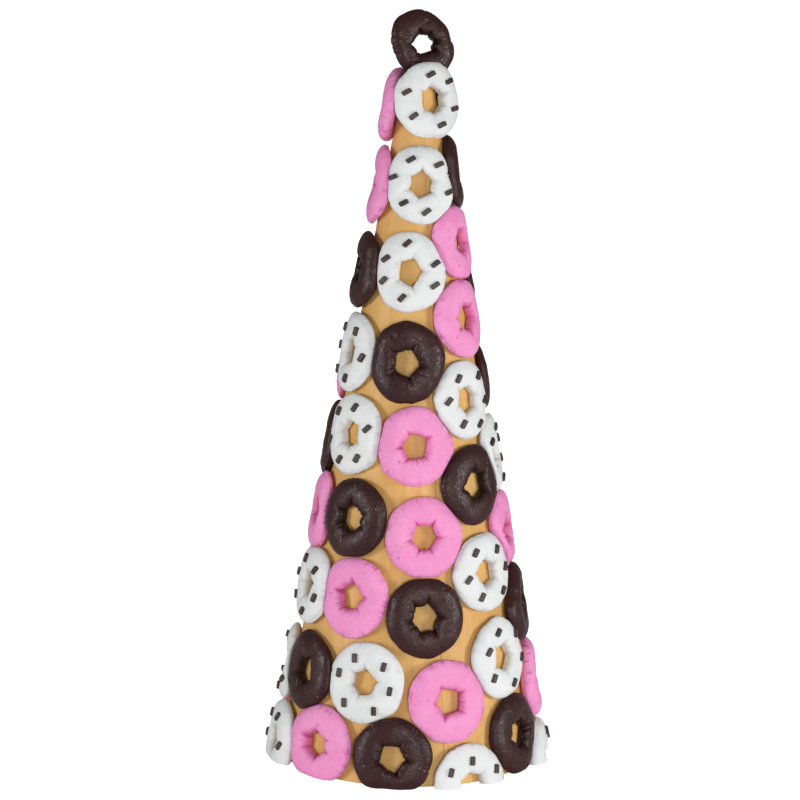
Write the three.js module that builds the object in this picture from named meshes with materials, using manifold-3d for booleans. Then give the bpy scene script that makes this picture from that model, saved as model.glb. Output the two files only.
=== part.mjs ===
// A table-top doughnut tree: a tan cone with a flat base, covered all round in small modelled doughnuts.
// The doughnuts are pink, chocolate or white with sprinkles, and one more stands upright on the cone's top.
// Millimetres and degrees. +Z is up, the origin is the centre of the cone's base, and the front faces -Y.
import * as THREE from "three";
import { mergeVertices } from "three/addons/utils/BufferGeometryUtils.js";
import Module from "manifold-3d";

// The cone
const CONE_BASE_RADIUS = 78.7;
const CONE_HALF_ANGLE = THREE.MathUtils.degToRad(9.5);
const CONE_TOP = 416;
const CONE_SIDES = 64;

// A doughnut on the cone, before its neighbours press it
const DOUGHNUT_WIDTH = 49;
const DOUGHNUT_TALL = 49;
const DOUGHNUT_THICK = 7.6;
const HOLE_WIDTH = 12.6;
const HOLE_TALL = 14;
const SIZE_WOBBLE = 0.014;
const ROUGHNESS = 0.6;

// A ring's section, in shares of its width and thickness, and where across it the foot lies on the cone.
// Then how far off a neighbour can press it, and the share of the way by which a soft one gives in.
const FOOT = [0.55];
const SECTION = {
  edge: 0.44,
  shoulderIn: 0.22,
  shoulder: 0.86,
  crest: 0.34,
  wall: 0.48,
};
const PRESS_REACH = 1.3;
const YIELD = 0.12;

// Below this height the surface that the tree stands on cuts a doughnut off flat
const CUT_BELOW = 15;

// Where the cone is narrow, a doughnut bends less than the cone does, and is squeezed narrower
const STIFF_BEND = 41;
const BEND_EASE = 1.62;
const SQUEEZE_FROM = 30;
const NARROW_CONE = 12;
const SQUEEZED_WIDTH = 0.88;
const SQUEEZED_TALL = 0.93;

// The gathers pinched round a hole: each is a crease that runs out over the top
const FEWEST_GATHERS = 5;
const STEPS_PER_GATHER = 3;
const GATHER_WOBBLE = 0.2;
const CREASE_HOLE = 1.16;
const LOBE_HOLE = 0.93;
const CREASE_TOP = 0.9;
const CREASE_RIM = 0.985;

// Clearances: under a doughnut, between neighbours, and between the top doughnut and what it stands on
const UNDER_GAP = 0.5;
const SIDE_GAP = 0.4;
const TOP_GAP = 0.4;

// Sprinkles: short flat rods, one in each sixth of a white doughnut's ring
const SPRINKLE_SIZE = [5.3, 2.9, 4];
const SPRINKLE_PROUD = 1.3;
const SPRINKLES = 6;
const SPRINKLE_RING = 0.52;
const SPRINKLE_WOBBLE = { around: 8, across: 0.07, grain: 12 };
const SPRINKLE_FLOOR = 5;

// The doughnut that stands on top: its size, its flat back, its place, its turns and its own pinched gathers
const TOP_LONG = 46;
const TOP_SHORT = 38.5;
const TOP_ROLL = THREE.MathUtils.degToRad(40);
const TOP_THICK = 9;
const TOP_BACK = [0.14, 0.68];
const TOP_HOLE_WIDTH = 14.4;
const TOP_HOLE_TALL = 11.6;
const TOP_CENTRE = [2.2, 0.8, 436.8];
const TOP_FACING = THREE.MathUtils.degToRad(22);
const TOP_LEAN = THREE.MathUtils.degToRad(9);
const TOP_GATHERS = [10, 52, 105, 183, 247, 330];
const TOP_GATHER_RIMS = [0.91, 0.97, 0.985, 0.985, 0.985, 0.985];

// Which repeatable draw each uneven size takes
const DRAW = { width: 1, tall: 2, turn: 3, gather: 4, rim: 20, around: 40, grain: 50, across: 60 };

const COLOURS = {
  tan: 0xdcab68,
  pink: 0xf38cc9,
  chocolate: 0x46302f,
  white: 0xeceeec,
};

// Colour, azimuth from the front towards +X and height of each doughnut's centre, from the top down.
// A white one also has the angle of its first sprinkle and the way its sprinkles point.
const PLACES = [
  ["white", 33, 404.3, 41, 25],
  ["pink", -106, 399.5],
  ["chocolate", 162, 402],
  ["chocolate", 98, 359],
  ["white", 7, 355, 44, 30],
  ["pink", -88, 352.5],
  ["white", 188, 353, 20, 60],
  ["pink", 67, 320],
  ["pink", 195, 306],
  ["white", -6.3, 303.8, 26, 40],
  ["chocolate", -82, 301],
  ["chocolate", 125, 288],
  ["pink", 57, 275],
  ["chocolate", 183, 257],
  ["white", -68, 252.5, 54, 75],
  ["chocolate", -6, 250.5],
  ["pink", -120, 238.5],
  ["chocolate", 124, 232.5],
  ["white", 46.2, 227, 58, 50],
  ["white", 203, 205, 35, 30],
  ["white", -49.3, 205, 15, 64],
  ["pink", 2.5, 201.5],
  ["pink", 148, 195],
  ["chocolate", -102, 194.5],
  ["white", 82, 190, 30, 40],
  ["chocolate", 45.3, 176.3],
  ["chocolate", -38.5, 156],
  ["pink", 231, 155],
  ["pink", -79, 153],
  ["chocolate", 182, 152],
  ["pink", 8.5, 148],
  ["chocolate", 133, 147],
  ["pink", 79, 145],
  ["white", 47, 123.5, 66, 55],
  ["white", -69, 110, 40, 65],
  ["pink", -32.7, 110],
  ["pink", -114, 104],
  ["white", 190, 103, 10, 45],
  ["chocolate", 8.5, 100.5],
  ["white", 137, 98, 48, 20],
  ["chocolate", 83.5, 97],
  ["white", 53, 71, 44, 52],
  ["white", -21, 60.5, 50, 88],
  ["chocolate", -58.3, 59.5],
  ["chocolate", 208, 56],
  ["white", -91, 54, 30, 50],
  ["pink", 150, 52],
  ["pink", 19.5, 50.5],
  ["pink", 90.5, 46.5],
  ["pink", 240, 30],
  ["chocolate", 58.2, 23],
  ["chocolate", 118, 23],
  ["pink", -43, 19.3],
  ["chocolate", -6.5, 17.5],
  ["white", 178, 12, 25, 70],
  ["white", -76.5, 10.5, 60, 70],
  ["white", 28.5, -0.5, 30, 80],
  ["white", 84, -1.5, 40, 60],
];

// Doughnuts unlike the rest, by number: their thickness, width and height against the others, and the
// number of a firmer neighbour that they yield to where the two press each other.
const ALIKE = { thick: 1, width: 1, tall: 1, yieldsTo: 0 };
const UNLIKE = {
  1: { width: 1.14, tall: 1.02 },
  2: { thick: 1.2 },
  3: { width: 0.88, yieldsTo: 2 },
  5: { width: 1.015, tall: 1.015 },
  6: { tall: 1.05 },
  8: { thick: 0.92 },
  11: { thick: 1.15, tall: 0.955 },
  12: { thick: 0.85 },
  13: { thick: 0.9 },
  19: { thick: 0.87, width: 0.92, tall: 0.975 },
  25: { thick: 0.88, yieldsTo: 26 },
  29: { yieldsTo: 27 },
  33: { yieldsTo: 34 },
  35: { thick: 1.1 },
  41: { thick: 1.2, yieldsTo: 34 },
  42: { width: 1.03, tall: 1.03 },
  43: { width: 1.03, tall: 1.03 },
  46: { yieldsTo: 44 },
  48: { width: 1.035, tall: 1.03 },
  49: { thick: 1.3, yieldsTo: 42 },
  51: { width: 1.05, tall: 1.02 },
  53: { thick: 1.1, width: 1.03, tall: 1.03 },
  54: { width: 1.02 },
  56: { thick: 1.2 },
  57: { width: 1.05, tall: 1.03 },
  58: { thick: 1.35 },
};

const wasm = await Module();
wasm.setup();

// A repeatable draw from -1 to 1 for doughnut n.
function draw(n, k) {
  const s = Math.sin(n * 12.9898 + k * 78.233) * 43758.5453;
  return 2 * (s - Math.floor(s)) - 1;
}

function coneRadius(z) {
  return CONE_BASE_RADIUS - z * Math.tan(CONE_HALF_ANGLE);
}

// How much wider than the cone a doughnut's bend is at height z.
function bendSlack(z) {
  return Math.max(0, STIFF_BEND - BEND_EASE * coneRadius(z));
}

// Bends a flat place (p across, q up the slope, w outwards) round the cone at a doughnut's centre.
// The flat sheet is rolled without stretching onto a cone of the same taper that touches the real one.
function bend(place, p, q, w) {
  const slack = bendSlack(place.height);
  const radius = coneRadius(place.height) + slack;
  const sin = Math.sin(CONE_HALF_ANGLE);
  const cos = Math.cos(CONE_HALF_ANGLE);
  const across = (p * radius) / (radius + (DOUGHNUT_THICK / 2) * cos);
  const slant = radius / sin;
  const reach = Math.hypot(slant - q, across);
  const turn = Math.atan2(across, slant - q) / sin;
  const r = reach * sin + w * cos;
  const out = r * Math.cos(turn) - slack;
  const side = r * Math.sin(turn);
  return new THREE.Vector3(
    out * Math.sin(place.azimuth) + side * Math.cos(place.azimuth),
    side * Math.sin(place.azimuth) - out * Math.cos(place.azimuth),
    place.height + (slant - reach) * cos + w * sin,
  );
}

// The radius of an ellipse at an angle.
function ellipseRadius(width, tall, angle) {
  const a = width / 2;
  const b = tall / 2;
  return (a * b) / Math.hypot(b * Math.cos(angle), a * Math.sin(angle));
}

// The angles round a ring, in radians: each gather's crease, then the steps of the lobe after it.
function ringSteps(gathers) {
  const steps = [];
  gathers.forEach((start, i) => {
    const next = i + 1 < gathers.length ? gathers[i + 1] : gathers[0] + 2 * Math.PI;
    for (let k = 0; k < STEPS_PER_GATHER; k++)
      steps.push({ angle: start + ((next - start) * k) / STEPS_PER_GATHER, gather: i, crease: k === 0 });
  });
  return steps;
}

// The section of a ring between hole radius h and rim radius R, as [radius, height] from its foot round.
function ringSection(h, R, thick, top, foot) {
  const wide = R - h;
  return [
    ...foot.map((share) => [h + share * wide, UNDER_GAP]),
    [R, SECTION.edge * thick],
    [R - SECTION.shoulderIn * wide, SECTION.shoulder * thick],
    [h + SECTION.crest * wide, top * thick],
    [h, SECTION.wall * thick],
  ];
}

// A closed ring from one section for each step round it; place(p, q, w) puts a flat point in space.
function ringGeometry(sections, steps, place) {
  const points = [];
  const faces = [];
  const sides = sections[0].length;
  steps.forEach(({ angle }, i) => {
    sections[i].forEach(([r, w], k) => {
      points.push(...place(r * Math.cos(angle), r * Math.sin(angle), w).toArray());
      const a = i * sides + k;
      const b = i * sides + ((k + 1) % sides);
      const c = ((i + 1) % steps.length) * sides + k;
      const d = ((i + 1) % steps.length) * sides + ((k + 1) % sides);
      faces.push(a, d, b, a, c, d);
    });
  });
  const ring = new THREE.BufferGeometry();
  ring.setAttribute("position", new THREE.Float32BufferAttribute(points, 3));
  ring.setIndex(faces);
  return ring;
}

function solidOf(geometry) {
  const bare = geometry.clone();
  bare.deleteAttribute("normal");
  bare.deleteAttribute("uv");
  const merged = mergeVertices(bare, 1e-4);
  return new wasm.Manifold(
    new wasm.Mesh({
      numProp: 3,
      vertProperties: new Float32Array(merged.attributes.position.array),
      triVerts: new Uint32Array(merged.index.array),
    }),
  );
}

function geometryOf(solid) {
  const mesh = solid.getMesh();
  const geometry = new THREE.BufferGeometry();
  geometry.setAttribute("position", new THREE.BufferAttribute(mesh.vertProperties, 3));
  geometry.setIndex(new THREE.BufferAttribute(mesh.triVerts, 1));
  return geometry;
}

function makeMesh(name, geometry, colour) {
  geometry.computeVertexNormals();
  const look = { color: COLOURS[colour], roughness: ROUGHNESS, metalness: 0 };
  const material = new THREE.MeshStandardMaterial(look);
  const mesh = new THREE.Mesh(geometry, material);
  mesh.name = name;
  return mesh;
}

function makeCone() {
  const profile = [
    new THREE.Vector2(0, 0),
    new THREE.Vector2(CONE_BASE_RADIUS, 0),
    new THREE.Vector2(coneRadius(CONE_TOP), CONE_TOP),
    new THREE.Vector2(0, CONE_TOP),
  ];
  const cone = new THREE.LatheGeometry(profile, CONE_SIDES);
  cone.rotateX(Math.PI / 2);
  return makeMesh("cone", geometryOf(solidOf(cone)), "tan");
}

// Each doughnut's number, colour, centre and size, worked out from its row.
function readPlaces() {
  return PLACES.map(([colour, azimuth, height, firstSprinkle, grain], i) => {
    const n = i + 1;
    const tight = 1 - THREE.MathUtils.smoothstep(coneRadius(height), NARROW_CONE, SQUEEZE_FROM);
    const size = (least, k) => THREE.MathUtils.lerp(1, least, tight) * (1 + SIZE_WOBBLE * draw(n, k));
    const own = { ...ALIKE, ...UNLIKE[n] };
    const place = { n, colour, height, firstSprinkle, grain, azimuth: THREE.MathUtils.degToRad(azimuth) };
    place.thick = DOUGHNUT_THICK * own.thick;
    place.width = DOUGHNUT_WIDTH * own.width * size(SQUEEZED_WIDTH, DRAW.width);
    place.tall = DOUGHNUT_TALL * own.tall * size(SQUEEZED_TALL, DRAW.tall);
    place.yieldsTo = own.yieldsTo;
    place.cut = height < CUT_BELOW;
    place.half = height < HOLE_TALL / 2;
    place.centre = bend(place, 0, 0, DOUGHNUT_THICK / 2);
    return place;
  });
}

// The planes part of the way to the neighbours: soft doughnuts that meet press each other flat there.
function pressPlanes(place, places) {
  const reach = PRESS_REACH * DOUGHNUT_TALL;
  return places
    .filter((other) => other !== place && other.centre.distanceTo(place.centre) < reach)
    .map((other) => {
      const away = other.centre.clone().sub(place.centre);
      const yields = (place.yieldsTo === other.n) - (other.yieldsTo === place.n);
      const reached = away.length() * (0.5 - YIELD * yields) - SIDE_GAP / 2;
      return new THREE.Plane().setFromNormalAndCoplanarPoint(
        away.normalize(),
        place.centre.clone().addScaledVector(away, reached),
      );
    });
}

function pressed(point, planes) {
  for (const plane of planes) {
    const past = plane.distanceToPoint(point);
    if (past > 0) point.addScaledVector(plane.normal, -past);
  }
  return point;
}

function gatherAngles(n) {
  const count = FEWEST_GATHERS + (n % 2);
  const first = Math.PI * draw(n, DRAW.turn);
  return Array.from({ length: count }, (_, j) => {
    return first + ((j + GATHER_WOBBLE * draw(n, DRAW.gather + j)) * 2 * Math.PI) / count;
  });
}

function doughnutRing(place, planes) {
  const steps = ringSteps(gatherAngles(place.n));
  const sections = steps.map(({ angle, crease }, i) => {
    const uneven = 1 + SIZE_WOBBLE * draw(place.n, DRAW.rim + i);
    const rim = ellipseRadius(place.width, place.tall, angle) * uneven;
    const hole = ellipseRadius(HOLE_WIDTH * (place.width / DOUGHNUT_WIDTH), HOLE_TALL, angle);
    return ringSection(
      hole * (crease ? CREASE_HOLE : LOBE_HOLE),
      rim * (crease ? CREASE_RIM : 1),
      place.thick,
      crease ? CREASE_TOP : 1,
      FOOT,
    );
  });
  return ringGeometry(sections, steps, (p, q, w) => {
    const point = pressed(bend(place, p, q, w), planes);
    if (!place.cut) point.z = Math.max(0, point.z);
    return point;
  });
}

// One sprinkle: a rod bent onto the doughnut's top, sunk into it by its lower part.
function sprinkleGeometry(place, k) {
  const sway = SPRINKLE_WOBBLE.around * draw(place.n, DRAW.around + k);
  const around = place.firstSprinkle + (k * 360) / SPRINKLES + sway;
  const grain = place.grain + SPRINKLE_WOBBLE.grain * draw(place.n, DRAW.grain + k);
  const angle = THREE.MathUtils.degToRad(around);
  const share = SPRINKLE_RING + SPRINKLE_WOBBLE.across * draw(place.n, DRAW.across + k);
  const ring = THREE.MathUtils.lerp(HOLE_TALL / 2, ellipseRadius(place.width, place.tall, angle), share);
  const rod = new THREE.BoxGeometry(...SPRINKLE_SIZE);
  rod.rotateZ(THREE.MathUtils.degToRad(grain));
  const middle = place.thick + SPRINKLE_PROUD - SPRINKLE_SIZE[2] / 2;
  rod.translate(ring * Math.cos(angle), ring * Math.sin(angle), middle);
  const spots = rod.attributes.position;
  for (let i = 0; i < spots.count; i++) {
    const spot = bend(place, spots.getX(i), spots.getY(i), spots.getZ(i));
    spots.setXYZ(i, ...spot.toArray());
  }
  return rod;
}

// Whether a sprinkle lies clear of the surface below the tree and of the neighbours that press its doughnut.
function liesClear(rod, planes) {
  const spots = rod.attributes.position;
  for (let i = 0; i < spots.count; i++) {
    const spot = new THREE.Vector3().fromBufferAttribute(spots, i);
    if (spot.z < SPRINKLE_FLOOR || planes.some((plane) => plane.distanceToPoint(spot) > 0)) return false;
  }
  return true;
}

// The space under the surface that the tree stands on.
function belowFloor() {
  const reach = 3 * CONE_BASE_RADIUS;
  const block = new THREE.BoxGeometry(reach, reach, DOUGHNUT_TALL);
  block.translate(0, 0, -DOUGHNUT_TALL / 2);
  return solidOf(block);
}

function makeDoughnut(place, places) {
  const planes = pressPlanes(place, places);
  let solid = solidOf(doughnutRing(place, planes));
  if (place.colour === "white")
    for (let k = 0; k < SPRINKLES; k++) {
      const rod = sprinkleGeometry(place, k);
      if (liesClear(rod, planes)) solid = solid.add(solidOf(rod));
    }
  if (place.cut) solid = solid.subtract(belowFloor());
  const kind = place.half ? "half_doughnut" : "doughnut";
  const number = String(place.n).padStart(2, "0");
  return makeMesh(`${place.colour}_${kind}_${number}`, geometryOf(solid), place.colour);
}

// Keeps a point of the top doughnut behind the bent backs of the doughnuts that stand beside its foot.
function behindBacks(point, places) {
  for (const place of places) {
    const slack = bendSlack(place.height);
    const axis = new THREE.Vector2(-slack * Math.sin(place.azimuth), slack * Math.cos(place.azimuth));
    const out = new THREE.Vector2(point.x, point.y).sub(axis);
    const aside = out.x * Math.cos(place.azimuth) + out.y * Math.sin(place.azimuth);
    const share = (2 * aside) / place.width;
    if (Math.abs(share) > 1) continue;
    const rim = place.height + (place.tall / 2) * Math.sqrt(1 - share * share) + 2 * TOP_GAP;
    const most = coneRadius(point.z) + slack - TOP_GAP;
    if (point.z > rim || out.length() < most) continue;
    out.setLength(most).add(axis);
    point.set(out.x, out.y, point.z);
  }
}

// The doughnut that stands upright on the cone's flat top, leaning back a little.
function makeTopDoughnut(places) {
  const upright = new THREE.Matrix4()
    .makeTranslation(...TOP_CENTRE)
    .multiply(new THREE.Matrix4().makeRotationZ(TOP_FACING))
    .multiply(new THREE.Matrix4().makeRotationX(Math.PI / 2 - TOP_LEAN));
  const steps = ringSteps(TOP_GATHERS.map((angle) => THREE.MathUtils.degToRad(angle)));
  const sections = steps.map(({ angle, gather, crease }) => {
    const hole = ellipseRadius(TOP_HOLE_WIDTH, TOP_HOLE_TALL, angle);
    const rim = ellipseRadius(TOP_SHORT, TOP_LONG, angle - TOP_ROLL);
    return ringSection(
      hole * (crease ? CREASE_HOLE : LOBE_HOLE),
      rim * (crease ? TOP_GATHER_RIMS[gather] : 1),
      TOP_THICK,
      crease ? CREASE_TOP : 1,
      TOP_BACK,
    );
  });
  const beside = places.filter((place) => place.height > CONE_TOP - DOUGHNUT_TALL / 2);
  const ring = ringGeometry(sections, steps, (p, q, w) => {
    const point = new THREE.Vector3(p, q, w - TOP_THICK / 2).applyMatrix4(upright);
    behindBacks(point, beside);
    point.z = Math.max(CONE_TOP + TOP_GAP, point.z);
    return point;
  });
  return makeMesh("chocolate_doughnut_top", ring, "chocolate");
}

const tree = new THREE.Group();
const places = readPlaces();
tree.add(makeCone());
for (const place of places) tree.add(makeDoughnut(place, places));
tree.add(makeTopDoughnut(places));

export default tree;
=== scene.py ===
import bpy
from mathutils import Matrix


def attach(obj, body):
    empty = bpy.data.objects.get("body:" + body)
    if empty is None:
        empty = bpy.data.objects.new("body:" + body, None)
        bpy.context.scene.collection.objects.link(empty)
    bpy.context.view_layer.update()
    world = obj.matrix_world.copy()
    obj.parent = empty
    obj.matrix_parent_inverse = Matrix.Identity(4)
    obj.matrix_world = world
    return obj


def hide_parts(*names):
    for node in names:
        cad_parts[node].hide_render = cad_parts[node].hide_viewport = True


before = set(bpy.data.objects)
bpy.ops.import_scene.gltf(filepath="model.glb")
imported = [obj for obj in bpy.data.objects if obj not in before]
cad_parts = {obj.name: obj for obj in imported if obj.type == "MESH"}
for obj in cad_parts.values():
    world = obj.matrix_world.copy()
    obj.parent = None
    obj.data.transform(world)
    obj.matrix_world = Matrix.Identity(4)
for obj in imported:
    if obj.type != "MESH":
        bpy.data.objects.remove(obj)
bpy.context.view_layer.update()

import math

import bmesh
import bpy
import numpy as np
from mathutils import Matrix, Vector

# The tan cone is the core that carries every doughnut: one tall solid cone of smooth caramel-coloured dough.
# It is cut flat at the foot and at the top, and rubbed down by hand along its length, which leaves soft
# hollows, faint upright streaks and a fine seam down the front.

# Shapes are in millimetres until they become a mesh, and finishes are in metres
MM = 0.001
SWELL_WAVES = 12
SWELL_LENGTHS = (0.6, 1.3)
CONE_STEPS = 160
CONE_ROWS = 110
CONE_EDGE = 1.4
CONE_EDGE_STEPS = 4
CONE_TIP_SPAN = 1
CONE_HOLLOW = 0.35
CONE_HOLLOW_LENGTH = 26
CONE_HOLLOW_DRAWN_OUT = 0.4
CONE_HOLLOW_SEED = 3
CONE_SEAM_AZIMUTH = math.radians(17.5)
CONE_SEAM_WANDER = 0.02
CONE_BAND_FROM_SEAM = 0.1
CONE_STREAK_SIZE = 0.0035
CONE_STREAK_LONG = 0.045
CONE_RELIEF = 0.00022
CONE_TAN = (216, 168, 99)
CONE_LIGHT_TAN = (225, 180, 113)
CONE_STREAK_TAN = (207, 155, 81)
CONE_BAND_TAN = (232, 190, 130)
CONE_SEAM_BROWN = (160, 108, 56)


def node_points(name):
    """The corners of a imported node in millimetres, each once."""
    corners = np.array([v.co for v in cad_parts[name].data.vertices]) / MM
    return np.unique(corners.round(3), axis=0)


def swells(points, length, seed):
    """Soft swellings over points, about -1 to 1, a given length from crest to crest."""
    draw = np.random.default_rng(seed)
    waves = draw.normal(size=(3, SWELL_WAVES))
    waves *= 2 * math.pi / length * draw.uniform(*SWELL_LENGTHS, SWELL_WAVES) / np.linalg.norm(waves, axis=0)
    return np.sin(points @ waves + draw.uniform(0, 2 * math.pi, SWELL_WAVES)).mean(axis=-1) * 2


def skin(name, rows, closed=False, capped=False):
    """A smooth mesh over rows of points. Each row is a loop, and the last row can join the first."""
    count, steps = rows.shape[:2]
    row = np.arange(count if closed else count - 1)[:, None]
    step = np.arange(steps)[None, :]
    after_row = (row + 1) % count * steps
    after_step = (step + 1) % steps
    corners = [row * steps + step, row * steps + after_step, after_row + after_step, after_row + step]
    faces = np.stack(corners, axis=-1).reshape(-1, 4).tolist()
    if capped:
        faces.append(list(range(steps))[::-1])
        faces.append(list(range((count - 1) * steps, count * steps)))
    mesh = bpy.data.meshes.new(name)
    mesh.from_pydata((rows.reshape(-1, 3) * MM).tolist(), [], faces)
    mesh.shade_smooth()
    piece = bpy.data.objects.new(name, mesh)
    bpy.context.scene.collection.objects.link(piece)
    return piece


def paint(colour):
    """A colour given in red, green and blue from 0 to 255, as a shader takes it."""
    parts = [c / 255 for c in colour]
    return tuple(c / 12.92 if c < 0.04045 else ((c + 0.055) / 1.055) ** 2.4 for c in parts) + (1,)


def add_node(tree, kind, inputs=None, **settings):
    """A shader node with its settings, and its inputs given as values or as sockets to link."""
    node = tree.nodes.new("ShaderNode" + kind)
    for setting, value in settings.items():
        setattr(node, setting, value)
    for socket, value in (inputs or {}).items():
        if isinstance(value, bpy.types.NodeSocket):
            tree.links.new(value, node.inputs[socket])
        else:
            node.inputs[socket].default_value = value
    return node


def blend_colour(tree, share, first, second):
    """The colour at a share of the way between two; the share and the first colour may be sockets."""
    first = first if isinstance(first, bpy.types.NodeSocket) else paint(first)
    return add_node(tree, "Mix", {0: share, 6: first, 7: paint(second)}, data_type="RGBA").outputs[2]


def reckon(tree, operation, *values):
    """One step of arithmetic on values or sockets."""
    inputs = dict(enumerate(values))
    return add_node(tree, "Math", inputs, operation=operation).outputs[0]


def ease(tree, value, low, high, to_low=0.0, to_high=1.0):
    """A value taken smoothly from one range to another."""
    inputs = {"Value": value, "From Min": low, "From Max": high, "To Min": to_low, "To Max": to_high}
    return add_node(tree, "MapRange", inputs, interpolation_type="SMOOTHSTEP").outputs[0]


def new_group(name, inputs, outputs):
    """An empty shader group with named number sockets."""
    group = bpy.data.node_groups.new(name, "ShaderNodeTree")
    for socket in inputs:
        group.interface.new_socket(socket, in_out="INPUT", socket_type="NodeSocketFloat")
    for socket in outputs:
        group.interface.new_socket(socket, in_out="OUTPUT", socket_type="NodeSocketFloat")
    return group


def kneaded_dough_group():
    """Cloudy shade, fine grain and small pits, as on all dough that was kneaded by hand."""
    group = new_group("kneaded dough", ["Cloud scale", "Grain scale", "Pit scale"], ["Cloud", "Grain", "Pit"])
    given = group.nodes.new("NodeGroupInput").outputs
    place = add_node(group, "TexCoord").outputs["Object"]
    cloud = add_node(group, "TexNoise", {"Vector": place, "Scale": given["Cloud scale"], "Detail": 3.0})
    grain = add_node(group, "TexNoise", {"Vector": place, "Scale": given["Grain scale"], "Detail": 4.0})
    grain.inputs["Roughness"].default_value = 0.62
    cell = add_node(group, "TexVoronoi", {"Vector": place, "Scale": given["Pit scale"]})
    drawn = add_node(group, "SeparateColor", {"Color": cell.outputs["Color"]}).outputs[0]
    chosen = ease(group, drawn, 0.8, 0.84)
    dot = ease(group, cell.outputs["Distance"], 0.07, 0.16, 1.0, 0.0)
    put = group.nodes.new("NodeGroupOutput").inputs
    group.links.new(cloud.outputs["Fac"], put["Cloud"])
    group.links.new(grain.outputs["Fac"], put["Grain"])
    group.links.new(reckon(group, "MULTIPLY", dot, chosen), put["Pit"])
    return group


kneaded_dough = kneaded_dough_group()


def use_group(tree, group, **values):
    """A group placed in a material, with its inputs set; underscores stand for spaces."""
    node = tree.nodes.new("ShaderNodeGroup")
    node.node_tree = group
    for socket, value in values.items():
        node.inputs[socket.replace("_", " ")].default_value = value
    return node.outputs


def new_material(name, **constants):
    """A material with its shader, whose constants are set on the shader's own sockets."""
    material = bpy.data.materials.new(name)
    material.use_nodes = True
    shader = material.node_tree.nodes["Principled BSDF"]
    for socket, value in constants.items():
        shader.inputs[socket.replace("_", " ")].default_value = value
    return material, material.node_tree, shader


def bump(tree, shader, height, depth):
    """Raises a shader's surface by a height from 0 to 1, times a depth in metres."""
    raised = add_node(tree, "Bump", {"Height": height, "Distance": depth})
    tree.links.new(raised.outputs["Normal"], shader.inputs["Normal"])


def cone_finish():
    """Caramel dough with upright streaks, a pale band and a thin seam."""
    material, tree, shader = new_material("tan cone dough", Specular_IOR_Level=0.25)
    place = add_node(tree, "TexCoord").outputs["Object"]
    drawn_out = add_node(tree, "Mapping", {"Vector": place, "Scale": (1, 1, CONE_STREAK_LONG)}).outputs[0]
    streak = add_node(tree, "TexNoise", {"Vector": drawn_out, "Scale": 1 / CONE_STREAK_SIZE, "Detail": 4.0})
    streak = streak.outputs["Fac"]
    dough = use_group(tree, kneaded_dough, Cloud_scale=38, Grain_scale=1500, Pit_scale=160)
    x, y, _ = add_node(tree, "SeparateXYZ", {"Vector": place}).outputs
    azimuth = reckon(tree, "ARCTAN2", x, reckon(tree, "MULTIPLY", y, -1))
    wander = add_node(tree, "TexNoise", {"Vector": place, "Scale": 24}).outputs["Fac"]
    off_seam = reckon(tree, "SUBTRACT", azimuth, CONE_SEAM_AZIMUTH)
    wander = ease(tree, wander, 0.2, 0.8, -CONE_SEAM_WANDER, CONE_SEAM_WANDER)
    off_seam = reckon(tree, "ADD", off_seam, wander)
    seam = ease(tree, reckon(tree, "ABSOLUTE", off_seam), 0.003, 0.009, 1.0, 0.0)
    off_band = reckon(tree, "SUBTRACT", off_seam, CONE_BAND_FROM_SEAM)
    band = ease(tree, reckon(tree, "ABSOLUTE", off_band), 0.03, 0.06, 1.0, 0.0)
    colour = blend_colour(tree, ease(tree, dough["Cloud"], 0.3, 0.7), CONE_TAN, CONE_LIGHT_TAN)
    colour = blend_colour(tree, ease(tree, streak, 0.35, 0.75, 0, 0.5), colour, CONE_STREAK_TAN)
    colour = blend_colour(tree, reckon(tree, "MULTIPLY", band, 0.35), colour, CONE_BAND_TAN)
    colour = blend_colour(tree, reckon(tree, "MULTIPLY", seam, 0.4), colour, CONE_SEAM_BROWN)
    tree.links.new(colour, shader.inputs["Base Color"])
    tree.links.new(ease(tree, streak, 0.2, 0.8, 0.42, 0.6), shader.inputs["Roughness"])
    height = reckon(tree, "MULTIPLY", dough["Grain"], 0.25)
    height = reckon(tree, "ADD", height, reckon(tree, "MULTIPLY", streak, 0.8))
    height = reckon(tree, "SUBTRACT", height, reckon(tree, "MULTIPLY", seam, 0.5))
    bump(tree, shader, height, CONE_RELIEF)
    return material


cone_corners = node_points("cone")
cone_tall = cone_corners[:, 2].max()
from_axis = np.hypot(cone_corners[:, 0], cone_corners[:, 1])
cone_foot = from_axis.max()
cone_tip = from_axis[cone_corners[:, 2] > cone_tall - CONE_TIP_SPAN].max()
taper = math.atan2(cone_foot - cone_tip, cone_tall)

cone_share = np.linspace(0, 1, CONE_ROWS)
cone_heights = CONE_EDGE + cone_share * (cone_tall - 2 * CONE_EDGE)
cone_profile = []
for a in np.linspace(0, math.pi / 2, CONE_EDGE_STEPS, endpoint=False):
    cone_profile.append((-CONE_EDGE * (1 - math.sin(a)), CONE_EDGE * (1 - math.cos(a))))
for h in cone_heights:
    cone_profile.append((0.0, h))
for a in np.linspace(0, math.pi / 2, CONE_EDGE_STEPS + 1)[1:]:
    cone_profile.append((-CONE_EDGE * (1 - math.cos(a)), cone_tall - CONE_EDGE * (1 - math.sin(a))))
cone_turn = np.arange(CONE_STEPS) * 2 * math.pi / CONE_STEPS
inset, level = np.array(cone_profile).T
cone_radius = (cone_foot - level * math.tan(taper) + inset)[:, None]
cone_rows = np.stack(
    [
        cone_radius * np.sin(cone_turn),
        -cone_radius * np.cos(cone_turn),
        level[:, None] + 0 * cone_turn,
    ],
    axis=-1,
)
drawn_out = cone_rows * (1, 1, CONE_HOLLOW_DRAWN_OUT)
hollow = CONE_HOLLOW * (swells(drawn_out, CONE_HOLLOW_LENGTH, CONE_HOLLOW_SEED) - 1) / 2
cone_rows[..., :2] *= 1 + hollow[..., None] / cone_radius[..., None]
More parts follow.
